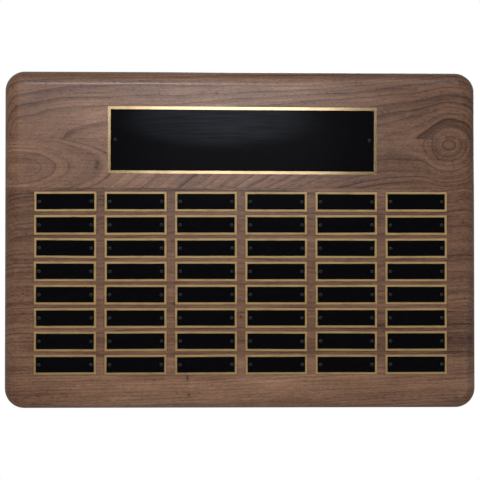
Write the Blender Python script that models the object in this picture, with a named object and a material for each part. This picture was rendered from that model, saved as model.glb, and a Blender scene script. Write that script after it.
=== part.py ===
"""Perpetual plaque: an edge-glued walnut board with a header plate and a grid of nameplates.

Metres, +Z up. The front faces -Y and the board's back lies in the plane y = 0, against the wall.
The origin is the hang point, where the wall screw bears on the top of the keyhole slot. Sub-parts
are placed from the board's centre, which is where the empty "plaque" stands.
"""

import math

import bmesh
import bpy

INCH = 0.0254
GAP = 0.0003  # left between two pieces that touch

# Board: six staves glued edge to edge, then rounded at the corners and along the front edge.
BOARD_WIDTH = 21 * INCH
BOARD_HEIGHT = 15 * INCH
BOARD_THICKNESS = 7 / 8 * INCH
CORNER_RADIUS = 7 / 8 * INCH
ROUND_OVER = 5 / 8 * INCH
GLUE_LINES = (0.1140, 0.0579, -0.0027, -0.0808, -0.1326)  # heights, from the top one down
FRONT = -BOARD_THICKNESS

# Plates: engravers' brass sheet, screwed flat to the front.
PLATE_THICKNESS = 0.0006
PLATE_BACK = FRONT - GAP
PLATE_FRONT = PLATE_BACK - PLATE_THICKNESS
HEADER_WIDTH = 12 * INCH
HEADER_HEIGHT = 3 * INCH
HEADER_CENTRE = (0.0016, 0.1118)
HEADER_SCREW_INSET = 0.0088  # from the plate's end to the screw's centre
NAMEPLATE_WIDTH = 2.75 * INCH
NAMEPLATE_HEIGHT = 7 / 8 * INCH
NAMEPLATE_SCREW_INSET = 0.0058
COLUMNS = 6
ROWS = 8
COLUMN_PITCH = 0.0793
ROW_PITCH = 0.02625
GRID_CENTRE = (0.0, -0.0493)

# Plate screws: round head, 3/8 in long under the head.
SCREW_HEAD_RADIUS = 0.00205
SCREW_HEAD_HEIGHT = 0.0015
SCREW_SHANK_RADIUS = 0.00085
SCREW_LENGTH = 3 / 8 * INCH
SCREW_TIP = 0.0020
RECESS_ARM = 0.0010
RECESS_WIDTH = 0.0005
RECESS_DEPTH = 0.0008
PLATE_HOLE_RADIUS = 0.0013
PILOT_RADIUS = SCREW_SHANK_RADIUS + GAP
PILOT_DEPTH = 0.0095

# Keyhole hanger: a steel plate let in flush with the back. The slot's upper end is the origin.
HANG_DROP = 0.040  # from the board's top edge down to the origin
HANG_POINT = BOARD_HEIGHT / 2 - HANG_DROP
HANGER_LENGTH = 0.044
HANGER_WIDTH = 0.018
HANGER_THICKNESS = 0.0016
HANGER_CENTRE = HANG_POINT - 0.005
SLOT_WIDTH = 0.005
ENTRY_RADIUS = 0.005
ENTRY_DROP = 0.009  # from the slot's upper end down to the centre of the round entry
HEAD_POCKET_WIDTH = 0.013
HEAD_POCKET_DEPTH = 0.0105  # from the back face, leaving room for the wall screw's head
HANGER_SCREW_SPACING = 0.033
HANGER_SCREW_HEAD_RADIUS = 0.0033
HANGER_SCREW_SHANK_RADIUS = 0.0015
HANGER_SCREW_CONE = 0.0018
HANGER_SCREW_LENGTH = 0.0127

# Facets
CORNER_FACETS = 8
ROUND_OVER_FACETS = 6
HOLE_FACETS = 8
HEAD_FACETS = 16
DOME_STEPS = 4
END_FACETS = 12

CUTTER_OVERRUN = 0.001  # how far a cutter stands out of the face that it goes in through


def clear_scene():
    for obj in list(bpy.data.objects):
        bpy.data.objects.remove(obj)


def metal_or_wood(name, colour, roughness, metallic):
    material = bpy.data.materials.new(name)
    material.use_nodes = True
    shader = material.node_tree.nodes["Principled BSDF"]
    shader.inputs["Base Color"].default_value = (*colour, 1)
    shader.inputs["Roughness"].default_value = roughness
    shader.inputs["Metallic"].default_value = metallic
    material.diffuse_color = (*colour, 1)
    return material


def mesh_from(bm, name, material):
    """A named mesh with its faces pointing out, smooth but for its real edges."""
    bmesh.ops.recalc_face_normals(bm, faces=bm.faces)
    mesh = bpy.data.meshes.new(name)
    bm.to_mesh(mesh)
    bm.free()
    mesh.shade_smooth()
    mesh.set_sharp_from_angle(angle=math.radians(30))
    if material:
        mesh.materials.append(material)
    return mesh


def place(name, mesh, parent, location=(0, 0, 0), turn=0):
    """A named object, set from the parent's origin and turned about the vertical."""
    obj = bpy.data.objects.new(name, mesh)
    bpy.context.scene.collection.objects.link(obj)
    obj.parent = parent
    obj.location = location
    obj.rotation_euler.z = turn
    return obj


def place_cutter(name, bm, parent, location=(0, 0, 0), turn=0):
    cutter = place(name, mesh_from(bm, name, None), parent, location, turn)
    cutter.hide_render = True
    cutter.display_type = "WIRE"
    return cutter


def cut(obj, cutter):
    boolean = obj.modifiers.new(cutter.name, "BOOLEAN")
    boolean.operation = "DIFFERENCE"
    boolean.solver = "EXACT"
    boolean.object = cutter


def arc(centre, radius, start, end, facets):
    """Points on an arc in the XZ plane, angles in degrees from +X towards +Z."""
    points = []
    for step in range(facets + 1):
        angle = math.radians(start + (end - start) * step / facets)
        points.append((centre[0] + radius * math.cos(angle), centre[1] + radius * math.sin(angle)))
    return points


def rounded_rectangle(width, height, radius):
    x, z = width / 2 - radius, height / 2 - radius
    outline = []
    for quarter, centre in enumerate(((x, z), (-x, z), (-x, -z), (x, -z))):
        outline += arc(centre, radius, 90 * quarter, 90 * (quarter + 1), CORNER_FACETS)
    return outline


def upright_stadium(width, bottom, top):
    """A slot's outline, with its two end arcs centred at the heights bottom and top."""
    upper_end = arc((0, top), width / 2, 0, 180, END_FACETS)
    return upper_end + arc((0, bottom), width / 2, 180, 360, END_FACETS)


def loop_edges(bm, outline, y):
    verts = [bm.verts.new((x, y, z)) for x, z in outline]
    return [bm.edges.new((verts[i - 1], verts[i])) for i in range(len(verts))]


def prism(outline, y_back, y_front, holes=()):
    """A plate with this outline and these holes through it, between two depths."""
    bm = bmesh.new()
    edges = loop_edges(bm, outline, y_back)
    for hole in holes:
        edges += loop_edges(bm, hole, y_back)
    flat = bmesh.ops.triangle_fill(bm, use_beauty=True, use_dissolve=False, edges=edges)
    faces = [item for item in flat["geom"] if isinstance(item, bmesh.types.BMFace)]
    raised = bmesh.ops.extrude_face_region(bm, geom=faces, use_keep_orig=True)
    moved = [item for item in raised["geom"] if isinstance(item, bmesh.types.BMVert)]
    bmesh.ops.translate(bm, verts=moved, vec=(0, y_front - y_back, 0))
    return bm


def add_turned(bm, profile, facets, centre=(0, 0, 0)):
    """Adds a solid turned about a line along Y, from (radius, y) points that start and end on it."""
    x, y, z = centre
    verts = [bm.verts.new((x + radius, y + along, z)) for radius, along in profile]
    edges = [bm.edges.new(pair) for pair in zip(verts, verts[1:])]
    bmesh.ops.spin(
        bm,
        geom=verts + edges,
        cent=centre,
        axis=(0, 1, 0),
        angle=math.tau,
        steps=facets,
        use_merge=True,
    )
    bmesh.ops.remove_doubles(bm, verts=bm.verts, dist=1e-7)


def grid_places():
    """Each nameplate's (row, column, x, z), row by row from the top left."""
    for row in range(ROWS):
        for column in range(COLUMNS):
            x = GRID_CENTRE[0] + (column - (COLUMNS - 1) / 2) * COLUMN_PITCH
            z = GRID_CENTRE[1] - (row - (ROWS - 1) / 2) * ROW_PITCH
            yield row + 1, column + 1, x, z


def plate_screw_places():
    """(x, z) of every screw that holds a plate to the board."""
    reach = HEADER_WIDTH / 2 - HEADER_SCREW_INSET
    for side in (-1, 1):
        yield HEADER_CENTRE[0] + side * reach, HEADER_CENTRE[1]
    reach = NAMEPLATE_WIDTH / 2 - NAMEPLATE_SCREW_INSET
    for _, _, x, z in grid_places():
        for side in (-1, 1):
            yield x + side * reach, z


def make_blank_board():
    """The whole board: a rounded rectangle with its front edge rounded over."""
    outline = rounded_rectangle(BOARD_WIDTH, BOARD_HEIGHT, CORNER_RADIUS)
    bm = bmesh.new()
    verts = [bm.verts.new((x, 0, z)) for x, z in outline]
    back = bm.faces.new(verts)
    raised = bmesh.ops.extrude_face_region(bm, geom=[back], use_keep_orig=True)
    moved = [item for item in raised["geom"] if isinstance(item, bmesh.types.BMVert)]
    bmesh.ops.translate(bm, verts=moved, vec=(0, FRONT, 0))
    rim = [edge for edge in bm.edges if all(abs(v.co.y - FRONT) < 1e-6 for v in edge.verts)]
    bmesh.ops.bevel(
        bm,
        geom=rim,
        offset=ROUND_OVER,
        offset_type="OFFSET",
        segments=ROUND_OVER_FACETS,
        profile=0.5,
        affect="EDGES",
        clamp_overlap=False,
    )
    return bm


def trim(bm, height, keep_above):
    """Cuts the body at a height, drops one side and closes the cut."""
    everything = bm.verts[:] + bm.edges[:] + bm.faces[:]
    sliced = bmesh.ops.bisect_plane(
        bm,
        geom=everything,
        plane_co=(0, 0, height),
        plane_no=(0, 0, 1),
        clear_inner=keep_above,
        clear_outer=not keep_above,
    )
    open_edges = [item for item in sliced["geom_cut"] if isinstance(item, bmesh.types.BMEdge)]
    bmesh.ops.edgeloop_fill(bm, edges=open_edges)


def make_staves(plaque, walnut, pilot_holes):
    """The board, sawn back into its staves, with the plate screws' pilot holes drilled."""
    staves = []
    for number in range(len(GLUE_LINES) + 1):
        bm = make_blank_board()
        if number < len(GLUE_LINES):
            trim(bm, GLUE_LINES[number] + GAP / 2, keep_above=True)
        if number > 0:
            trim(bm, GLUE_LINES[number - 1] - GAP / 2, keep_above=False)
        name = f"stave_{number + 1}"
        stave = place(name, mesh_from(bm, name, walnut), plaque)
        cut(stave, pilot_holes)
        staves.append(stave)
    return staves


def make_plate_mesh(name, width, height, screw_inset, material):
    """A square-cornered plate with a clearance hole near each end, standing on its back face."""
    outline = [(x * width / 2, z * height / 2) for x, z in ((-1, -1), (1, -1), (1, 1), (-1, 1))]
    holes = []
    for side in (-1, 1):
        centre = (side * (width / 2 - screw_inset), 0)
        holes.append(arc(centre, PLATE_HOLE_RADIUS, 0, 360, HOLE_FACETS)[:-1])
    return mesh_from(prism(outline, 0, -PLATE_THICKNESS, holes), name, material)


def make_recess_cutter(name, parent, location):
    """A cross recess: two arms that reach down from above the head's crown."""
    arm, half = RECESS_ARM, RECESS_WIDTH / 2
    quarter = [(arm, -half), (arm, half), (half, half)]
    outline = []
    for turn in range(4):
        for x, z in quarter:
            for _ in range(turn):
                x, z = -z, x
            outline.append((x, z))
    crown = -SCREW_HEAD_HEIGHT
    bm = prism(outline, crown + RECESS_DEPTH, crown - CUTTER_OVERRUN)
    return place_cutter(name, bm, parent, location)


def make_header_screws(plaque, steel):
    """Round-head screws at the header plate's two ends, each with a cross recess."""
    dome = [(0, -SCREW_HEAD_HEIGHT)]
    for step in range(1, DOME_STEPS + 1):
        angle = math.radians(90 * step / DOME_STEPS)
        dome.append((SCREW_HEAD_RADIUS * math.sin(angle), -SCREW_HEAD_HEIGHT * math.cos(angle)))
    shank = [
        (SCREW_SHANK_RADIUS, 0),
        (SCREW_SHANK_RADIUS, SCREW_LENGTH - SCREW_TIP),
        (0, SCREW_LENGTH),
    ]
    reach = HEADER_WIDTH / 2 - HEADER_SCREW_INSET
    for side, word in ((-1, "left"), (1, "right")):
        name = f"header_screw_{word}"
        bm = bmesh.new()
        add_turned(bm, dome + shank, HEAD_FACETS)
        seat = (HEADER_CENTRE[0] + side * reach, PLATE_FRONT - GAP, HEADER_CENTRE[1])
        screw = place(name, mesh_from(bm, name, steel), plaque, seat)
        cut(screw, make_recess_cutter(f"{name}_recess", plaque, seat))


def make_header_plate(plaque, brass):
    mesh = make_plate_mesh("header_plate", HEADER_WIDTH, HEADER_HEIGHT, HEADER_SCREW_INSET, brass)
    place("header_plate", mesh, plaque, (HEADER_CENTRE[0], PLATE_BACK, HEADER_CENTRE[1]))


def make_nameplates(plaque, brass):
    """The grid of nameplates, which are all one stock size."""
    mesh = make_plate_mesh(
        "nameplate", NAMEPLATE_WIDTH, NAMEPLATE_HEIGHT, NAMEPLATE_SCREW_INSET, brass
    )
    for row, column, x, z in grid_places():
        place(f"nameplate_row{row}_col{column}", mesh, plaque, (x, PLATE_BACK, z))


def make_pilot_holes(plaque):
    """Cutter: one blind hole in the board's front for each plate screw."""
    start, end = FRONT - CUTTER_OVERRUN, FRONT + PILOT_DEPTH
    drill = [(0, start), (PILOT_RADIUS, start), (PILOT_RADIUS, end), (0, end)]
    bm = bmesh.new()
    for x, z in plate_screw_places():
        add_turned(bm, drill, HOLE_FACETS, (x, 0, z))
    return place_cutter("pilot_holes", bm, plaque)


def countersunk_profile(clearance, overrun):
    """A flat-head screw from its flush face inwards, or, with a clearance, the hole for it."""
    head = HANGER_SCREW_HEAD_RADIUS + clearance
    shank = HANGER_SCREW_SHANK_RADIUS + clearance
    length = HANGER_SCREW_LENGTH + clearance
    return [
        (0, -overrun),
        (head, -overrun),
        (head, 0),
        (shank, HANGER_SCREW_CONE),
        (shank, length - SCREW_TIP),
        (0, length),
    ]


def make_hanger(plaque, top_stave, steel):
    """The keyhole hanger, its recess and head pocket in the top stave, and its two screws."""
    half_run = (HANGER_LENGTH - HANGER_WIDTH) / 2
    low, high = HANGER_CENTRE - half_run, HANGER_CENTRE + half_run
    outline = upright_stadium(HANGER_WIDTH, low, high)
    recess_outline = upright_stadium(HANGER_WIDTH + 2 * GAP, low, high)
    recess = prism(recess_outline, CUTTER_OVERRUN, -HANGER_THICKNESS - GAP)
    cut(top_stave, place_cutter("hanger_recess", recess, plaque))
    entry_height = HANG_POINT - ENTRY_DROP
    pocket_outline = upright_stadium(HEAD_POCKET_WIDTH, entry_height, HANG_POINT)
    pocket = prism(pocket_outline, CUTTER_OVERRUN, -HEAD_POCKET_DEPTH)
    cut(top_stave, place_cutter("head_pocket", pocket, plaque))

    # The slot's sides meet the round entry where the entry is as wide as the slot.
    meet = math.degrees(math.asin(SLOT_WIDTH / 2 / ENTRY_RADIUS))
    keyhole = arc((0, HANG_POINT), SLOT_WIDTH / 2, 0, 180, END_FACETS)
    keyhole += arc((0, entry_height), ENTRY_RADIUS, 90 + meet, 450 - meet, 2 * END_FACETS)
    plate = prism(outline, 0, -HANGER_THICKNESS, [keyhole])
    hanger = place("keyhole_hanger", mesh_from(plate, "keyhole_hanger", steel), plaque)

    for side, word in ((1, "upper"), (-1, "lower")):
        seat = (0, 0, HANGER_CENTRE + side * HANGER_SCREW_SPACING / 2)
        name = f"hanger_screw_{word}"
        hole = bmesh.new()
        add_turned(hole, countersunk_profile(GAP, CUTTER_OVERRUN), HEAD_FACETS)
        hole_cutter = place_cutter(f"{name}_hole", hole, plaque, seat, math.pi)
        cut(hanger, hole_cutter)
        cut(top_stave, hole_cutter)
        screw = bmesh.new()
        add_turned(screw, countersunk_profile(0, 0), HEAD_FACETS)
        place(name, mesh_from(screw, name, steel), plaque, seat, math.pi)


def main():
    clear_scene()
    walnut = metal_or_wood("walnut", (0.19, 0.105, 0.065), 0.45, 0)
    black_brass = metal_or_wood("black_brass", (0.012, 0.012, 0.014), 0.25, 0)
    black_steel = metal_or_wood("black_steel", (0.03, 0.03, 0.03), 0.35, 1)
    zinc_steel = metal_or_wood("zinc_steel", (0.55, 0.55, 0.52), 0.35, 1)

    plaque = bpy.data.objects.new("plaque", None)
    bpy.context.scene.collection.objects.link(plaque)
    plaque.location = (0, 0, -HANG_POINT)

    pilot_holes = make_pilot_holes(plaque)
    staves = make_staves(plaque, walnut, pilot_holes)
    make_header_plate(plaque, black_brass)
    make_header_screws(plaque, black_steel)
    make_nameplates(plaque, black_brass)
    make_hanger(plaque, staves[0], zinc_steel)


main()
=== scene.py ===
import math
import random

import bmesh
import bpy
from mathutils import Matrix, Vector


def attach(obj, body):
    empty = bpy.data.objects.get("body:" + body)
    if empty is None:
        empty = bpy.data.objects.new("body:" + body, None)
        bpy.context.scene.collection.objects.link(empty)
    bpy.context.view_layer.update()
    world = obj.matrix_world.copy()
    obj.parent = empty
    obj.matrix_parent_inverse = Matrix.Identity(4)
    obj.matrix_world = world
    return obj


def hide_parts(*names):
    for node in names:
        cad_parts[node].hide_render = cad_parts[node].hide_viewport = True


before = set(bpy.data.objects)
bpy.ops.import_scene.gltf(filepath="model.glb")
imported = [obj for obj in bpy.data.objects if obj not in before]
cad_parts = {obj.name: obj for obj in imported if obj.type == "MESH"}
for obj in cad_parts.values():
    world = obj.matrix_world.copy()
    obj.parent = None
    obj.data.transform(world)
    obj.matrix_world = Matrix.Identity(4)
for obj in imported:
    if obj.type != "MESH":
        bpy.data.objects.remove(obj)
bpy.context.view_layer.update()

# ---- The board ----
# Six staves of solid walnut, glued edge to edge, sanded flat, sawn to a rounded rectangle and
# routed round along the front edge. The back is left square. Pilot holes and the hanger's recess
# are cut last, and satin lacquer goes over it.

MM = 0.001
BOARD_WIDTH = 533.4 * MM
BOARD_HEIGHT = 381.0 * MM
BOARD_THICKNESS = 22.225 * MM
CORNER_RADIUS = 22.225 * MM
ROUND_OVER = 15.875 * MM
BACK_EASING = 0.5 * MM
HANG_POINT = 150.5 * MM  # the origin's height above the board's centre
FRONT = -BOARD_THICKNESS
HAIR = 0.01 * MM  # closer than this counts as the same place
GLUE_LINES = (114.0 * MM, 57.9 * MM, -2.7 * MM, -80.8 * MM, -132.6 * MM)  # from the board's centre
PITH_SPAN = 540.0  # mm of board that a course is given along
PITH_REACH = 200.0  # mm, the most that a course runs from the face, or to either side


class Reading:
    """A value read off the surface. Arithmetic on it adds Math nodes to its finish."""

    def __init__(self, finish, socket):
        self.finish = finish
        self.socket = socket

    def work(self, operation, *values):
        return self.finish.node("ShaderNodeMath", {"operation": operation}, enumerate(values))

    def __add__(self, other):
        return self.work("ADD", self, other)

    def __sub__(self, other):
        return self.work("SUBTRACT", self, other)

    def __rsub__(self, other):
        return self.work("SUBTRACT", other, self)

    def __mul__(self, other):
        return self.work("MULTIPLY", self, other)

    def __truediv__(self, other):
        return self.work("DIVIDE", self, other)

    def __rtruediv__(self, other):
        return self.work("DIVIDE", other, self)

    def __pow__(self, other):
        return self.work("POWER", self, other)

    def __abs__(self):
        return self.work("ABSOLUTE", self)

    __radd__ = __add__
    __rmul__ = __mul__


class Finish:
    """A finish being mixed: its nodes, up to the shader that they feed."""

    def __init__(self, name, **constants):
        self.material = bpy.data.materials.new(name)
        self.material.use_nodes = True
        self.tree = self.material.node_tree
        self.shader = self.tree.nodes["Principled BSDF"]
        self.show(**constants)

    def node(self, kind, settings, values, output=0):
        """Adds a node with these settings and these socket values or links; returns one output."""
        made = self.tree.nodes.new(kind)
        for setting, value in settings.items():
            if setting == "stops":
                self.set_stops(made.color_ramp, value)
            elif setting == "between_stops":
                made.color_ramp.interpolation = value
            else:
                setattr(made, setting, value)
        for socket, value in dict(values).items():
            self.feed(made.inputs[socket], value)
        return Reading(self, made.outputs[output])

    def set_stops(self, ramp, stops):
        """A ramp's stops, each a place and a colour or a single level."""
        while len(ramp.elements) < len(stops):
            ramp.elements.new(1.0)
        for element, (place, colour) in zip(ramp.elements, stops):
            element.position = place
            level = colour if isinstance(colour, tuple) else (colour, colour, colour)
            element.color = (*level[:3], 1.0)

    def feed(self, socket, value):
        if isinstance(value, Reading):
            self.tree.links.new(value.socket, socket)
        else:
            socket.default_value = value

    def show(self, **values):
        """Feeds the shader: Base_Color, Roughness, Normal and so on."""
        for socket, value in values.items():
            self.feed(self.shader.inputs[socket.replace("_", " ")], value)

    def place(self):
        """Where on the board a point lies: along, down from the front face, and up, in mm."""
        point = self.node("ShaderNodeTexCoord", {}, {}, "Object")
        along = self.node("ShaderNodeSeparateXYZ", {}, {0: point}, 0) / MM
        depth = self.node("ShaderNodeSeparateXYZ", {}, {0: point}, 1) / MM + BOARD_THICKNESS / MM
        up = self.node("ShaderNodeSeparateXYZ", {}, {0: point}, 2) / MM + HANG_POINT / MM
        return along, depth, up

    def cloud(self, x, y, z, detail=0.0, roughness=0.5):
        """Soft noise around 0, its blobs about 1 across in the readings given."""
        vector = self.node("ShaderNodeCombineXYZ", {}, {0: x, 1: y, 2: z})
        values = {"Vector": vector, "Scale": 1.0, "Detail": detail, "Roughness": roughness}
        return self.node("ShaderNodeTexNoise", {}, values) - 0.5

    def rise(self, value, low, high):
        """0 below low, 1 above high, and an easy curve between them."""
        values = {"Value": value, "From Min": low, "From Max": high}
        return self.node("ShaderNodeMapRange", {"interpolation_type": "SMOOTHSTEP"}, values)

    def blend(self, amount, first, second):
        """From the first colour to the second."""
        values = {0: amount, 6: first, 7: second}
        return self.node("ShaderNodeMix", {"data_type": "RGBA"}, values, 2)

    def relief(self, height, distance, strength):
        """A normal that shows the height as relief this deep."""
        values = {"Height": height, "Distance": distance, "Strength": strength}
        return self.node("ShaderNodeBump", {}, values)


def tint(red, green, blue):
    """A colour given in steps from 0 to 255, as the shader wants it."""
    steps = []
    for level in (red, green, blue):
        level = level / 255
        steps.append(level / 12.92 if level <= 0.04045 else ((level + 0.055) / 1.055) ** 2.4)
    return (*steps, 1.0)


def clear_bench():
    """Leaves edit mode and deselects everything."""
    if bpy.context.object and bpy.context.object.mode != "OBJECT":
        bpy.ops.object.mode_set(mode="OBJECT")
    bpy.ops.object.select_all(action="DESELECT")


def block(name, low, high):
    """A block between two corners, with its place and size in its mesh."""
    clear_bench()
    size = Vector(high) - Vector(low)
    centre = (Vector(high) + Vector(low)) / 2
    bpy.ops.mesh.primitive_cube_add(size=1, location=centre)
    bpy.context.object.scale = size
    bpy.ops.object.transform_apply(location=True, rotation=True, scale=True)
    bpy.context.object.name = name
    return bpy.context.object


def pick(kind, wanted):
    """In edit mode, selects just the faces or edges that are wanted."""
    bpy.ops.mesh.select_mode(type=kind)
    bpy.ops.mesh.select_all(action="DESELECT")
    body = bmesh.from_edit_mesh(bpy.context.object.data)
    for item in list(body.faces if kind == "FACE" else body.edges):
        if wanted(item):
            item.select_set(True)
    bmesh.update_edit_mesh(bpy.context.object.data)


def flush_with(item, y):
    """Whether an edge or a face lies wholly at this depth."""
    return all(abs(corner.co.y - y) < HAIR for corner in item.verts)


def runs_deeper(edge, y_span):
    """Whether an edge goes through more of the depth than this."""
    return abs(edge.verts[0].co.y - edge.verts[1].co.y) > y_span


def hold(obj):
    """Makes this the one thing selected and active."""
    clear_bench()
    obj.select_set(True)
    bpy.context.view_layer.objects.active = obj


def edit(obj):
    hold(obj)
    bpy.ops.object.mode_set(mode="EDIT")


def done():
    bpy.ops.object.mode_set(mode="OBJECT")


def machine(obj, kind, **settings):
    """Adds a modifier and applies it."""
    hold(obj)
    modifier = obj.modifiers.new(kind.title(), kind)
    for setting, value in settings.items():
        setattr(modifier, setting, value)
    bpy.ops.object.modifier_apply(modifier=modifier.name)


def cut(obj, cutter):
    machine(obj, "BOOLEAN", operation="DIFFERENCE", solver="EXACT", object=cutter)


def smooth(obj, degrees):
    """Shades smoothly across edges up to this angle."""
    hold(obj)
    bpy.ops.object.shade_smooth_by_angle(angle=math.radians(degrees))


def coat_with(obj, *materials):
    obj.data.materials.clear()
    for material in materials:
        obj.data.materials.append(material)


def copy_of(obj, name):
    """A copy with a mesh of its own."""
    made = obj.copy()
    made.data = obj.data.copy()
    made.name = name
    bpy.context.scene.collection.objects.link(made)
    return made


def drop(*objects):
    for obj in objects:
        bpy.data.objects.remove(obj)


def rod(name, sides, radius, y_front, y_back, x, z):
    """A round bar along the board's depth, between two depths."""
    clear_bench()
    bpy.ops.mesh.primitive_cylinder_add(
        vertices=sides,
        radius=radius,
        depth=y_back - y_front,
        location=(x, (y_front + y_back) / 2, z),
        rotation=(math.pi / 2, 0, 0),
    )
    bpy.ops.object.transform_apply(location=True, rotation=True, scale=True)
    bpy.context.object.name = name
    return bpy.context.object


def joined(name, pieces):
    clear_bench()
    for piece in pieces:
        piece.select_set(True)
    bpy.context.view_layer.objects.active = pieces[0]
    if len(pieces) > 1:
        bpy.ops.object.join()
    bpy.context.object.name = name
    return bpy.context.object


board_low = (-BOARD_WIDTH / 2, FRONT, -BOARD_HEIGHT / 2 - HANG_POINT)
board_high = (BOARD_WIDTH / 2, 0, BOARD_HEIGHT / 2 - HANG_POINT)
blank = block("board_blank", board_low, board_high)
edit(blank)
pick("EDGE", lambda edge: runs_deeper(edge, BOARD_THICKNESS / 2))
bpy.ops.mesh.bevel(offset=CORNER_RADIUS, segments=14, profile=0.5, affect="EDGES")
pick("EDGE", lambda edge: flush_with(edge, FRONT))
bpy.ops.mesh.bevel(
    offset=ROUND_OVER, segments=12, profile=0.5, affect="EDGES", clamp_overlap=False
)
pick("EDGE", lambda edge: flush_with(edge, 0))
bpy.ops.mesh.bevel(offset=BACK_EASING, segments=3, profile=0.5, affect="EDGES")
done()

# A stave's figure is what its own log left in it. The rings are about a pith, which runs in front
# of the face at this depth ("deep") and height ("high"), in mm, given along the stave from left to
# right. Where it comes near the face the rings show as nested ovals, and elsewhere as long lines.
# "drift" adds to the ring's radius along the stave, which slants the lines. "spacing" is the mm
# between rings and "wave" how far they stray. "bold" is how dark their late wood is. The tone
# course is how light the wood is along the stave, in hundredths: partly the walnut's own tone and
# partly painted shade, darker towards the stave's ends and most at the right, where the light
# falls off. "lean" is how far the fibres rise along the stave. "pins" are small knots: where, then
# how wide and tall.
NO_DRIFT = ((-267, 0), (267, 0))
STAVES = {
    1: {
        "deep": (
            (-267, 72), (-204, 67), (-125, 60), (0, 51), (150, 41), (190, 33), (205, 30),
            (220, 23), (235, 9), (250, 17), (267, 26),
        ),
        "high": ((-267, 110), (-204, 113), (-60, 106), (120, 104), (200, 108), (267, 108)),
        "drift": NO_DRIFT,
        "spacing": 7.4,
        "wave": 2.6,
        "bold": 0.9,
        "tone_and_shade": ((-267, -12), (-180, -6), (-40, 3), (80, -5), (180, -17), (267, -22)),
        "lean": -0.3,
        "pins": (),
    },
    2: {
        "deep": (
            (-267, 0), (-258, -3), (-227, 11), (-207, 17), (-183, 24), (-140, 31), (-30, 36),
            (100, 33), (170, 30), (190, 28), (204, 27), (213, 23), (222, 14), (235, -1),
            (246, 9), (254, 16), (267, 22),
        ),
        "high": ((-267, 80), (-180, 81), (-60, 88), (100, 99), (180, 106), (235, 107), (267, 108)),
        "drift": ((-267, 0), (-160, 0), (-60, 32), (60, 82), (160, 97), (267, 97)),
        "spacing": 6.4,
        "wave": 1.5,
        "bold": 0.9,
        "tone_and_shade": ((-267, -4), (-100, -1), (60, -10), (160, -18), (267, -21)),
        "lean": 0.32,
        "pins": ((-162.3, 86.5, 1.5, 1.3), (-163.5, 80.9, 1.5, 1.3)),
    },
    3: {
        "deep": ((-267, 52), (-150, 40), (-40, 36), (60, 42), (160, 38), (267, 34)),
        "high": ((-267, -60), (-150, -45), (0, -38), (150, -48), (267, -30)),
        "drift": NO_DRIFT,
        "spacing": 6.4,
        "wave": 3.2,
        "bold": 0.55,
        "tone_and_shade": ((-267, -28), (-200, -24), (0, -16), (200, -20), (267, -23)),
        "lean": 0.04,
        "pins": (),
    },
    4: {
        "deep": ((-267, 24), (-120, 20), (0, 24), (130, 20), (267, 22)),
        "high": ((-267, -130), (-60, -120), (120, -132), (267, -118)),
        "drift": NO_DRIFT,
        "spacing": 5.6,
        "wave": 2.6,
        "bold": 0.6,
        "tone_and_shade": ((-267, -19), (-200, -17), (0, -10), (200, -16), (267, -20)),
        "lean": -0.05,
        "pins": ((-75.4, -72.7, 1.6, 1.4),),
    },
    5: {
        "deep": ((-267, 14), (-90, 20), (60, 16), (267, 12)),
        "high": ((-267, -185), (0, -176), (150, -184), (267, -172)),
        "drift": NO_DRIFT,
        "spacing": 5.0,
        "wave": 2.6,
        "bold": 0.65,
        "tone_and_shade": ((-267, -15), (-200, -13), (0, -12), (180, -23), (267, -38)),
        "lean": 0.03,
        "pins": ((-0.3, -87.4, 1.6, 1.4),),
    },
    6: {
        "deep": ((-267, 12), (0, 16), (267, 10)),
        "high": ((-267, -60), (0, -52), (267, -34)),
        "drift": NO_DRIFT,
        "spacing": 3.6,
        "wave": 1.1,
        "bold": 0.7,
        "tone_and_shade": ((-267, -22), (-200, -2), (-60, 6), (40, 8), (140, 0), (210, -4), (267, -14)),
        "lean": 0.06,
        "pins": ((-60.7, -156.0, 1.3, 4.2), (-59.0, -175.5, 1.8, 1.6)),
    },
}


def course(wood, along, stops):
    """A value that runs smoothly through these stops along the stave, in mm."""
    spread = [(x / PITH_SPAN + 0.5, level / (2 * PITH_REACH) + 0.5) for x, level in stops]
    values = {0: along / PITH_SPAN + 0.5}
    settings = {"stops": spread, "between_stops": "B_SPLINE"}
    ramp = wood.node("ShaderNodeValToRGB", settings, values)
    level = wood.node("ShaderNodeSeparateColor", {}, {0: ramp})
    return (level - 0.5) * (2 * PITH_REACH)


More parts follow.
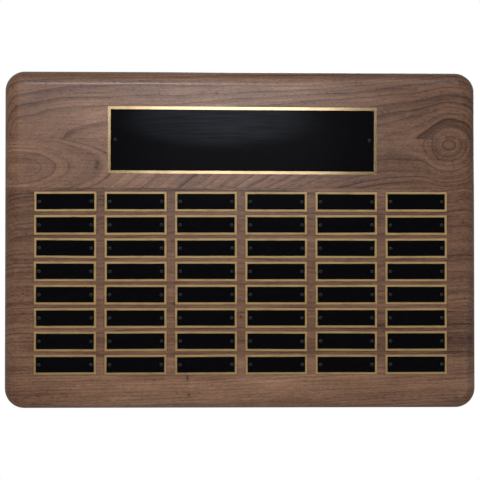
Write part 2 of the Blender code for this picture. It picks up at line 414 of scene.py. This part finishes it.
def walnut(number, figure):
    """One stave's walnut, under satin lacquer that sinks into its open pores."""
    wood = Finish(f"walnut_{number}", Specular_IOR_Level=0.1, Coat_Roughness=0.22)
    along, depth, up = wood.place()
    seed = number * 17.3

    # How far the point is from the pith, and so which year's ring it lies in and how late in it.
    sway = wood.cloud(along / 120 + seed, depth / 50, up / 42, 1.0) * (figure["wave"] * 3.0)
    ripple = wood.cloud(along / 26 + seed, depth / 12, up / 10, 1.0) * figure["wave"]
    deep = course(wood, along, figure["deep"]) + depth + sway
    side = up - course(wood, along, figure["high"]) + ripple
    reach = (deep * deep + side * side) ** 0.5 + course(wood, along, figure["drift"])

    pace = wood.cloud(reach / 16 + seed, 0.0, along / 300, 1.0) * 2.6
    years = reach / figure["spacing"] + pace
    season = years.work("FRACT", years)
    year = years - season
    hardness = wood.node("ShaderNodeTexWhiteNoise", {"noise_dimensions": "1D"}, {"W": year + seed})
    late = (season**4.0) * (1.0 - wood.rise(season, 0.94, 1.0)) * (hardness * 0.80 + 0.25)

    # Faint lines between the rings, broad bands, fibres, pores and clouds of colour.
    between = years.work("FRACT", years * 2.7)
    line = (between**4.0) * (1.0 - wood.rise(between, 0.92, 1.0))
    band = wood.cloud(reach / 13 + seed, along / 260, 4.0, 2.0)

    lean = figure["lean"]
    run = along + up * lean
    across = up - along * lean
    fibre = wood.cloud(run / 8.0 + seed, depth / 0.8, across / 0.75, 3.0, 0.7)
    grain = wood.cloud(along / 40, depth / 2.4 + seed, up / 2.4, 2.0)
    pore = wood.cloud(run / 5.0, depth / 0.6, across / 0.55 + seed, 1.0)
    open_pores = wood.rise(pore - season * 0.05, 0.04, 0.17)
    patch = wood.cloud(along / 60 + seed, depth / 26, up / 18, 2.0)
    flame = wood.cloud(along / 55 + seed, reach / 3.2, 7.0, 3.0, 0.6)

    # The tone course darkens each stave towards its ends, most at the right: painted shade for the
    # light falling off there, over the wood's own tone.
    tone_and_shade = 0.74 + course(wood, along, figure["tone_and_shade"]) / 100.0
    tone_and_shade = tone_and_shade + band * 0.60 + patch * 0.30 + fibre * 0.85 + grain * 0.34
    tone_and_shade = tone_and_shade + flame * 0.42 - late * (0.62 * figure["bold"]) - line * (0.12 * figure["bold"])
    tone_and_shade = tone_and_shade - open_pores * 0.30

    # Pin knots, each with a dark heart and a dusky edge, and the glue lines.
    for pin_x, pin_z, wide, tall in figure["pins"]:
        away = (((along - pin_x) / wide) ** 2.0 + ((up - pin_z) / tall) ** 2.0) ** 0.5
        tone_and_shade = tone_and_shade - (1.0 - wood.rise(away, 0.3, 1.0)) * 0.44
        tone_and_shade = tone_and_shade - (1.0 - wood.rise(away, 0.5, 3.5)) * 0.13
    glue = 1.0
    for joint in GLUE_LINES:
        glue = wood.rise(abs(up - joint / MM), 0.05, 0.50) * glue
    tone_and_shade = tone_and_shade * (glue * 0.30 + 0.70)

    # From the darkest brown, in late wood and pores, to the palest early wood.
    stops = (
        (0.0, tint(40, 23, 16)),
        (0.25, tint(68, 44, 31)),
        (0.50, tint(96, 68, 51)),
        (0.75, tint(118, 87, 67)),
        (1.0, tint(142, 109, 87)),
    )
    colour = wood.node("ShaderNodeValToRGB", {"stops": stops}, {0: tone_and_shade})

    rough = 0.42 + open_pores * 0.12 + fibre * 0.10 + late * 0.06
    lacquer = 0.88 - open_pores * 0.40 - late * 0.20 + fibre * 0.80
    surface = open_pores * -1.0 + fibre * 0.5 - late * 0.3
    wood.show(
        Base_Color=colour,
        Roughness=rough,
        Coat_Weight=lacquer.work("MINIMUM", lacquer, 1.0),
        Normal=wood.relief(surface, 0.00005, 0.22),
    )
    return wood.material


HEADER_WIDTH = 304.8 * MM
HEADER_HEIGHT = 76.2 * MM
HEADER_X = 1.6 * MM
HEADER_Z = 111.8 * MM - HANG_POINT
HEADER_SCREW_REACH = HEADER_WIDTH / 2 - 8.8 * MM
NAMEPLATE_WIDTH = 69.85 * MM
NAMEPLATE_HEIGHT = 22.225 * MM
NAMEPLATE_SCREW_REACH = NAMEPLATE_WIDTH / 2 - 5.8 * MM
COLUMNS = 6
ROWS = 8
COLUMN_PITCH = 79.3 * MM
ROW_PITCH = 26.25 * MM
GRID_Z = -49.3 * MM - HANG_POINT

# Where the plates and their screws go, which the pilot holes need first.
header_screw_places = [(HEADER_X + side * HEADER_SCREW_REACH, HEADER_Z) for side in (-1, 1)]
nameplate_places = []
for row in range(ROWS):
    for column in range(COLUMNS):
        x = (column - (COLUMNS - 1) / 2) * COLUMN_PITCH
        z = GRID_Z - (row - (ROWS - 1) / 2) * ROW_PITCH
        nameplate_places.append((row + 1, column + 1, x, z))

# Pilot holes for the plate screws, drilled from the front.
PILOT_RADIUS = 1.15 * MM
PILOT_DEPTH = 9.5 * MM
pilot_places = list(header_screw_places)
for row, column, x, z in nameplate_places:
    for side in (-1, 1):
        pilot_places.append((x + side * NAMEPLATE_SCREW_REACH, z))
drills = []
for x, z in pilot_places:
    drills.append(rod("drill", 8, PILOT_RADIUS, FRONT - MM, FRONT + PILOT_DEPTH, x, z))
pilot_holes = joined("pilot_holes", drills)


def slotted(name, width, low, high, y_front, y_back):
    """A bar with round ends, upright, between two depths: low and high are its ends' centres."""
    reach = width / 2
    made = block(name, (-reach, y_front, low - reach), (reach, y_back, high + reach))
    edit(made)
    pick("EDGE", lambda edge: runs_deeper(edge, (y_back - y_front) / 2))
    bpy.ops.mesh.bevel(offset=reach * 0.999, segments=16, profile=0.5, affect="EDGES")
    done()
    return made


# The hanger's recess, the pocket behind it for the wall screw's head, and its own screws' holes.
HANGER_Z = -5.0 * MM
HANGER_LOW = HANGER_Z - 13.0 * MM  # the centres of its round ends
HANGER_HIGH = HANGER_Z + 13.0 * MM
HANGER_SCREW_REACH = 16.5 * MM
ENTRY_Z = -9.0 * MM
RECESS_WIDTH = 18.6 * MM
RECESS_DEPTH = 1.9 * MM
POCKET_WIDTH = 13.0 * MM
POCKET_DEPTH = 10.5 * MM
HANGER_PILOT_RADIUS = 1.8 * MM
HANGER_PILOT_DEPTH = 13.0 * MM
hanger_recess = slotted(
    "hanger_recess", RECESS_WIDTH, HANGER_LOW, HANGER_HIGH, -RECESS_DEPTH, MM
)
head_pocket = slotted("head_pocket", POCKET_WIDTH, ENTRY_Z, 0.0, -POCKET_DEPTH, MM)
drills = []
for side in (-1, 1):
    z = HANGER_Z + side * HANGER_SCREW_REACH
    drills.append(rod("drill", 12, HANGER_PILOT_RADIUS, -HANGER_PILOT_DEPTH, MM, 0, z))
hanger_screw_holes = joined("hanger_screw_holes", drills)

for number, figure in STAVES.items():
    stave = copy_of(blank, f"walnut_stave_{number}")
    edit(stave)
    for index, keep_above in ((number - 1, True), (number - 2, False)):
        if 0 <= index < len(GLUE_LINES):
            bpy.ops.mesh.select_all(action="SELECT")
            bpy.ops.mesh.bisect(
                plane_co=(0, 0, GLUE_LINES[index] - HANG_POINT),
                plane_no=(0, 0, 1),
                use_fill=True,
                clear_inner=keep_above,
                clear_outer=not keep_above,
                threshold=1e-7,
            )
    done()
    cut(stave, pilot_holes)
    if number == 1:
        cut(stave, hanger_recess)
        cut(stave, head_pocket)
        cut(stave, hanger_screw_holes)
    smooth(stave, 35)
    machine(stave, "WEIGHTED_NORMAL", keep_sharp=True, weight=100)
    coat_with(stave, walnut(number, figure))
    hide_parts(f"stave_{number}")
    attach(stave, "root")
drop(blank, pilot_holes, hanger_recess, head_pocket, hanger_screw_holes)

# ---- The header plate ----
# Engraver's brass sheet, sheared square and coated black but for a border masked along its edges.
# It is a little out of level. Two round-head screws hold it, one near each end.

PLATE_THICKNESS = 0.6 * MM
PLATE_BACK = FRONT - 0.02 * MM
PLATE_FRONT = PLATE_BACK - PLATE_THICKNESS
PLATE_HOLE_RADIUS = 1.3 * MM
EASED_EDGE = 0.22 * MM
HEADER_BORDER = 3.5 * MM
HEADER_TILT = math.radians(0.2)


def bright_brass(name, rough, colour, lacquer):
    """Brass sheet: rolled, brushed along its length, a little tarnished, and lacquered clear."""
    brass = Finish(name, Metallic=1.0, Coat_Weight=lacquer, Coat_Roughness=0.10)
    along, depth, up = brass.place()
    brush = brass.cloud(along / 18, depth / 2.0, up / 2.2, 1.0)
    tarnish = brass.cloud(along / 22, depth / 9, up / 9, 3.0)
    dull = brass.rise(tarnish, -0.05, 0.25)
    shade = brass.blend(dull * 0.5, colour, tint(150, 122, 84))
    brass.show(
        Base_Color=shade,
        Roughness=rough + brush * 0.03 + tarnish * 0.05,
        Normal=brass.relief(brush, 0.00001, 0.05),
    )
    return brass.material


def black_coat(name, rough, shine, painted_sheen=0.0):
    """Black lacquer on brass: hairline rubs, specks of dust, and, where asked, a painted
    reflection.
    """
    coat = Finish(name, Specular_IOR_Level=shine)
    along, depth, up = coat.place()
    haze_and_sheen = coat.cloud(along / 60, depth, up / 26, 3.0)
    rub = coat.cloud(along / 9 + up / 5, depth, up / 0.5 - along / 6, 2.0)
    rub_two = coat.cloud(along / 7 - up / 3, depth, up / 0.4 + along / 9, 2.0)
    hairline = coat.rise(rub, 0.20, 0.28) + coat.rise(rub_two, 0.22, 0.30)
    speck = coat.rise(coat.cloud(along / 0.5, depth, up / 0.5), 0.29, 0.34)
    marks = hairline * 0.35 + speck * 0.8
    mark = marks.work("MINIMUM", marks, 1.0)
    shade = coat.blend(mark, tint(7, 7, 9), tint(46, 46, 50))
    # A painted reflection: a soft greyish sheen of the lamps above, laid in streaks and clouds
    # over the plate's upper middle.
    if painted_sheen:
        sheen_spread = 1.0 - ((along + 20.0) / 124.0) ** 2.0 - ((up - 134.0) / 35.0) ** 2.0
        arc = up + (along / 60.0) * (along / 60.0) * 1.6
        sheen_strokes = coat.cloud(along / 60, 1.0, arc / 2.0, 4.0, 0.65)
        sheen_film = coat.rise(sheen_spread, 0.0, 1.0) * (0.60 + sheen_strokes * 2.0 + haze_and_sheen * 1.0) * painted_sheen
        shade = coat.blend(sheen_film, shade, tint(61, 65, 72))
    coat.show(
        Base_Color=shade,
        Roughness=rough + haze_and_sheen * 0.08 + mark * 0.10,
        Normal=coat.relief(haze_and_sheen, 0.00006, 0.3),
    )
    return coat.material


def plate(name, width, height, border, screw_reach, brass, black):
    """A plate about the origin's x and z, ready to be put in its place."""
    made = block(name, (-width / 2, PLATE_FRONT, -height / 2), (width / 2, PLATE_BACK, height / 2))
    edit(made)
    pick("EDGE", lambda edge: flush_with(edge, PLATE_FRONT))
    bpy.ops.mesh.bevel(offset=EASED_EDGE, segments=2, profile=0.5, affect="EDGES")
    pick("FACE", lambda face: face.normal.y < -0.999)
    bpy.ops.mesh.inset(thickness=border - EASED_EDGE, depth=0)
    done()
    drills = []
    for side in (-1, 1):
        x = side * screw_reach
        drills.append(
            rod("drill", 10, PLATE_HOLE_RADIUS, PLATE_FRONT - MM, PLATE_BACK + MM, x, 0)
        )
    holes = joined("holes", drills)
    cut(made, holes)
    drop(holes)

    # The black covers what lies inside the border.
    coat_with(made, brass, black)
    for face in made.data.polygons:
        inside = all(
            abs(made.data.vertices[corner].co.x) < width / 2 - border * 0.9
            and abs(made.data.vertices[corner].co.z) < height / 2 - border * 0.9
            for corner in face.vertices
        )
        face.material_index = 1 if inside and face.normal.y < -0.9 else 0
    return made


def put(obj, x, z, turn):
    """Moves a mesh to its place on the board, turned clockwise as seen from the front."""
    obj.data.transform(Matrix.Translation((x, 0, z)) @ Matrix.Rotation(turn, 4, "Y"))
    return obj


header_brass = bright_brass("bright_brass", 0.16, tint(184, 157, 113), 1.0)
# The header's black carries the painted reflection, a greyish sheen over its upper middle.
header_black = black_coat("black_lacquer", 0.15, 0.02, 0.36)
header = plate(
    "engraving_plate",
    HEADER_WIDTH,
    HEADER_HEIGHT,
    HEADER_BORDER,
    HEADER_SCREW_REACH,
    header_brass,
    header_black,
)
put(header, HEADER_X, HEADER_Z, HEADER_TILT)
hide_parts("header_plate")
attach(header, "root")

# ---- The nameplates ----
# Forty-eight small plates of the same sheet, in six columns and eight rows, each with a narrower
# border. They were screwed on by hand, so that each sits a hair off square.

NAMEPLATE_BORDER = 2.35 * MM
# The small plates' brass is paler than the header's: painted light, making up for the dimmer
# reflections that the satin plates get.
small_brass = bright_brass("satin_brass", 0.5, tint(204, 172, 116), 0.5)
small_black = black_coat("satin_black", 0.12, 0.02)
nameplate = plate(
    "nameplate",
    NAMEPLATE_WIDTH,
    NAMEPLATE_HEIGHT,
    NAMEPLATE_BORDER,
    NAMEPLATE_SCREW_REACH,
    small_brass,
    small_black,
)
hand = random.Random(11)
plate_screw_places = []
for row, column, x, z in nameplate_places:
    tilt = math.radians(hand.gauss(-0.12, 0.16))
    x = x + hand.uniform(-0.2, 0.2) * MM
    z = z + hand.uniform(-0.15, 0.15) * MM
    piece = put(copy_of(nameplate, f"plate_{row}_{column}"), x, z, tilt)
    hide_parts(f"nameplate_row{row}_col{column}")
    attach(piece, "root")
    for side, word in ((-1, "left"), (1, "right")):
        reach = side * NAMEPLATE_SCREW_REACH
        screw_x = x + reach * math.cos(tilt)
        screw_z = z - reach * math.sin(tilt)
        plate_screw_places.append((f"screw_{row}_{column}_{word}", screw_x, screw_z))
drop(nameplate)

# ---- The plate screws ----
# Small round-head wood screws of blackened steel, with a cross recess, 3/8 inch under the head.
# They go through the plates into the pilot holes, two to a plate.

SCREW_HEAD = 1.85 * MM  # radii
SCREW_SHANK = 0.85 * MM
SCREW_RIM = 0.45 * MM  # heights and lengths
SCREW_CROWN = 1.5 * MM
SCREW_LENGTH = 9.5 * MM
SCREW_TIP = 2.0 * MM
CROWN_STEPS = ((0.45 * MM, 0.87), (0.38 * MM, 0.66), (0.20 * MM, 0.34))  # heights, shares of width
CROSS_REACH = 1.1 * MM
CROSS_HALF = 0.3 * MM
CROSS_DEPTH = 0.9 * MM
POINT = 0.15  # how much of the shank's width is left at the tip
QUARTER_TURN = math.pi / 2


def draw_out(y_step, share=1.0, z=0.0):
    """In edit mode, extrudes the picked face along the depth and narrows it to this share."""
    bpy.ops.mesh.extrude_region_move(TRANSFORM_OT_translate={"value": (0, y_step, 0)})
    if share != 1.0:
        bpy.ops.transform.resize(value=(share, 1, share), center_override=(0, 0, z))


def cut_cross(obj, reach, half, y_front, y_back, z=0.0):
    """Cuts a cross recess, one arm lying and one upright."""
    for wide, tall in ((reach, half), (half, reach)):
        arm = block("arm", (-wide, y_front, z - tall), (wide, y_back, z + tall))
        cut(obj, arm)
        drop(arm)


crown_y = PLATE_FRONT - SCREW_RIM
screw = rod("plate_screw", 12, SCREW_HEAD, crown_y, PLATE_FRONT, 0, 0)
edit(screw)
share_before = 1.0
for height, share in CROWN_STEPS:
    pick("FACE", lambda face: face.normal.y < -0.9 and flush_with(face, crown_y))
    draw_out(-height, share / share_before)
    crown_y -= height
    share_before = share
pick("FACE", lambda face: face.normal.y > 0.9)
bpy.ops.mesh.inset(thickness=SCREW_HEAD - SCREW_SHANK, depth=0)
draw_out(SCREW_LENGTH - SCREW_TIP)
draw_out(SCREW_TIP, POINT)
done()
crown_y = PLATE_FRONT - SCREW_CROWN
cut_cross(screw, CROSS_REACH, CROSS_HALF, crown_y - MM, crown_y + CROSS_DEPTH)
smooth(screw, 40)


def screw_steel(name, colour, worn_and_sheen):
    """Steel in these colours, clouded: blackened where its blacking has rubbed, and pale for the
    painted highlight on the screw heads' rims.
    """
    steel = Finish(name, Metallic=1.0)
    along, depth, up = steel.place()
    wear_and_sheen = steel.cloud(along / 1.2, depth / 1.2, up / 1.2, 2.0)
    shade = steel.blend(steel.rise(wear_and_sheen, -0.05, 0.24), colour, worn_and_sheen)
    steel.show(Base_Color=shade, Roughness=0.30 + wear_and_sheen * 0.2)
    return steel.material


blackened = screw_steel("blackened_steel", tint(30, 30, 33), tint(52, 50, 48))
# The pale steel is a painted highlight: the bright ring that each round head catches from the
# lamps, laid on its rim.
ring_highlight = screw_steel("painted_highlight_steel", tint(146, 149, 156), tint(172, 166, 156))
coat_with(screw, blackened, ring_highlight)
# Faces on the outer ring of the head take the painted highlight.
for face in screw.data.polygons:
    from_axis = math.hypot(face.center.x, face.center.z)
    on_highlight_ring = from_axis > SCREW_HEAD * 0.7 and face.center.y < PLATE_FRONT - SCREW_CROWN * 0.2
    face.material_index = 1 if on_highlight_ring else 0

# The header's screws sit a little above its middle line, the left one more than the right.
header_lifts = (0.85 * MM, 0.5 * MM)
for word, (x, z), lift in zip(("left", "right"), header_screw_places, header_lifts):
    turn = hand.uniform(0, QUARTER_TURN)
    piece = put(copy_of(screw, f"header_fixing_{word}"), x, z + lift, turn)
    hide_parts(f"header_screw_{word}")
    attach(piece, "root")
for name, x, z in plate_screw_places:
    piece = put(copy_of(screw, name), x, z, hand.uniform(0, QUARTER_TURN))
    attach(piece, "root")
drop(screw)

# ---- The keyhole hanger ----
# A pressed steel plate, zinc plated, let in flush with the back and held by two flat-head screws.
# The wall screw's head goes in at the round entry and slides up behind the slot.

HANGER_WIDTH = 18.0 * MM
HANGER_THICKNESS = 1.6 * MM
HANGER_EDGE = 0.2 * MM
ENTRY_RADIUS = 5.0 * MM
SLOT_WIDTH = 5.0 * MM
SLOT_TOP = -2.5 * MM  # so that the slot's round end bears on the wall screw at the origin
PUNCH = 3.0 * MM  # how far the slot's cutters go in, which is clean through the plate
hanger = slotted("hanger_plate", HANGER_WIDTH, HANGER_LOW, HANGER_HIGH, -HANGER_THICKNESS, 0)
keyhole = [
    slotted("slot", SLOT_WIDTH, ENTRY_Z, SLOT_TOP, -PUNCH, MM),
    rod("entry", 32, ENTRY_RADIUS, -PUNCH, MM, 0, ENTRY_Z),
]
for cutter in keyhole:
    cut(hanger, cutter)
drop(*keyhole)

FLAT_HEAD = 3.3 * MM  # radii
FLAT_SHANK = 1.5 * MM
FLAT_RIM = 0.15 * MM  # lengths, from the back face inwards
FLAT_TAPER = 1.65 * MM
FLAT_THREAD = 8.9 * MM
FLAT_TIP = 2.0 * MM
FLAT_CROSS_REACH = 1.9 * MM
FLAT_CROSS_HALF = 0.35 * MM
FLAT_CROSS_DEPTH = 1.2 * MM
CLEARANCE = 0.12 * MM  # around each screw, in its countersunk hole


def flat_head(name, clearance, proud, z):
    """A flat-head screw's form from the back face inwards, or, with a clearance, its hole."""
    head = FLAT_HEAD + clearance
    shank = FLAT_SHANK + clearance
    made = rod(name, 20, head, -FLAT_RIM, proud, 0, z)
    edit(made)
    pick("FACE", lambda face: face.normal.y < -0.9)
    draw_out(-FLAT_TAPER, shank / head, z)
    draw_out(-FLAT_THREAD)
    draw_out(-FLAT_TIP, POINT, z)
    done()
    return made


zinc = Finish("zinc_plate", Metallic=1.0)
along, depth, up = zinc.place()
spangle = zinc.cloud(along / 3, depth / 3, up / 3, 3.0)
rolled = zinc.cloud(along / 0.3, depth / 0.3, up / 8, 2.0)
dulled = zinc.rise(spangle, -0.2, 0.25)
zinc.show(
    Base_Color=zinc.blend(dulled, tint(196, 196, 190), tint(166, 168, 166)),
    Roughness=0.36 + spangle * 0.25 + rolled * 0.1,
    Normal=zinc.relief(rolled, 0.00002, 0.5),
)
for word, side in (("upper", 1), ("lower", -1)):
    z = HANGER_Z + side * HANGER_SCREW_REACH
    hole = flat_head("hole", CLEARANCE, MM, z)
    cut(hanger, hole)
    drop(hole)
    fixing = flat_head(f"hanger_fixing_{word}", 0.0, 0.0, z)
    cut_cross(fixing, FLAT_CROSS_REACH, FLAT_CROSS_HALF, -FLAT_CROSS_DEPTH, MM, z)
    coat_with(fixing, zinc.material)
    smooth(fixing, 40)
    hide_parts(f"hanger_screw_{word}")
    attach(fixing, "root")
coat_with(hanger, zinc.material)
machine(hanger, "BEVEL", width=HANGER_EDGE, segments=2, limit_method="ANGLE")
smooth(hanger, 40)
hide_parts("keyhole_hanger")
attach(hanger, "root")

# ---- The studio ----
# No part of the plaque: a floor of pale paper well below it, even white walls, three small soft
# lights over the lens, broad panels above, below and behind, and two fills at the sides.

FLOOR_Z = -1.1
FLOOR_SIZE = 12.0
WHITE = (1.0, 1.0, 1.0)
clear_bench()
bpy.ops.mesh.primitive_plane_add(size=FLOOR_SIZE, location=(0, 0, FLOOR_Z))
floor = bpy.context.object
floor.name = "floor"
paper = Finish("floor_paper", Roughness=0.9, Base_Color=(0.86, 0.86, 0.86, 1.0))
coat_with(floor, paper.material)
floor.visible_glossy = False


class Surround(Finish):
    """The walls all round, mixed as a finish is."""

    def __init__(self, name, **constants):
        self.world = bpy.data.worlds.new(name)
        self.world.use_nodes = True
        self.tree = self.world.node_tree
        self.shader = self.tree.nodes["Background"]
        self.show(**constants)


# The lens sees pure white. The board is lit by walls that are dark behind the lens, so that the
# black plates stay black, and dimmer towards the ground, so that its edges don't turn grey.
AMBIENT = 0.28
DARK_SIDE = 0.03
GROUND = 0.17
surround = Surround("surround", Color=(*WHITE, 1.0))
toward = surround.node("ShaderNodeTexCoord", {}, {}, "Generated")
back = surround.node("ShaderNodeSeparateXYZ", {}, {0: toward}, "Y")
upward = surround.node("ShaderNodeSeparateXYZ", {}, {0: toward}, "Z")
seen = surround.node("ShaderNodeLightPath", {}, {}, "Is Camera Ray")
walls = surround.rise(back, -0.95, -0.45) * (AMBIENT - DARK_SIDE) + DARK_SIDE
walls = surround.rise(upward, -0.35, 0.15) * (walls - GROUND) + GROUND
surround.show(Strength=seen * (1.0 - walls) + walls)
bpy.context.scene.world = surround.world
bpy.context.scene.view_settings.view_transform = "Standard"

SKYLIGHT = (0.95, 0.98, 1.05)
COOL_WHITE = (0.97, 0.98, 1.03)
board_centre = Vector((0.0, FRONT / 2, -HANG_POINT))


def soft_box(name, place, wide, tall, watts, colour, in_gloss=True):
    """A lamp behind a sheet of this size, turned to the board's centre."""
    bpy.ops.object.light_add(type="AREA", location=place)
    lamp = bpy.context.object
    lamp.name = name
    lamp.data.shape = "RECTANGLE"
    lamp.data.size = wide
    lamp.data.size_y = tall
    lamp.data.energy = watts
    lamp.data.color = colour
    lamp.visible_camera = False
    lamp.visible_glossy = in_gloss
    lamp.rotation_euler = (board_centre - Vector(place)).to_track_quat("-Z", "Y").to_euler()


soft_box("key_light", (0.085, -2.40, 0.218), 0.41, 0.38, 2.1, COOL_WHITE)
soft_box("upper_light", (-0.12, -2.38, 0.66), 0.46, 0.46, 6.0, SKYLIGHT)
soft_box("left_light", (-0.36, -2.38, 0.46), 0.42, 0.60, 0.9, SKYLIGHT)
soft_box("low_light", (1.4, -2.2, -1.0), 1.7, 1.7, 5.0, WHITE)
soft_box("ceiling_panel", (-0.2, -1.7, 1.3), 2.0, 1.8, 12.0, COOL_WHITE)
soft_box("front_fill", (-1.3, -2.2, 0.4), 1.6, 1.6, 36.0, WHITE, in_gloss=False)
soft_box("right_fill", (1.9, -1.5, 0.0), 2.4, 2.4, 14.0, WHITE, in_gloss=False)
soft_box("back_panel", (0.8, 2.4, 0.8), 1.6, 1.6, 24.0, WHITE)

# A long lens, nearly square to the board, a touch to the left of its middle and below it.
AIM = Vector((-0.00085, -0.0111, -0.15094))
DISTANCE = 2.4
AZIMUTH = math.radians(-2.17)
ELEVATION = math.radians(-1.25)
FOCAL_LENGTH = 158.65  # mm
SENSOR_WIDTH = 36.0  # mm
outward = Vector(
    (
        math.sin(AZIMUTH) * math.cos(ELEVATION),
        -math.cos(AZIMUTH) * math.cos(ELEVATION),
        math.sin(ELEVATION),
    )
)
bpy.ops.object.camera_add(location=AIM + outward * DISTANCE)
camera = bpy.context.object
camera.rotation_euler = (-outward).to_track_quat("-Z", "Y").to_euler()
camera.data.lens = FOCAL_LENGTH
camera.data.sensor_width = SENSOR_WIDTH
bpy.context.scene.camera = camera
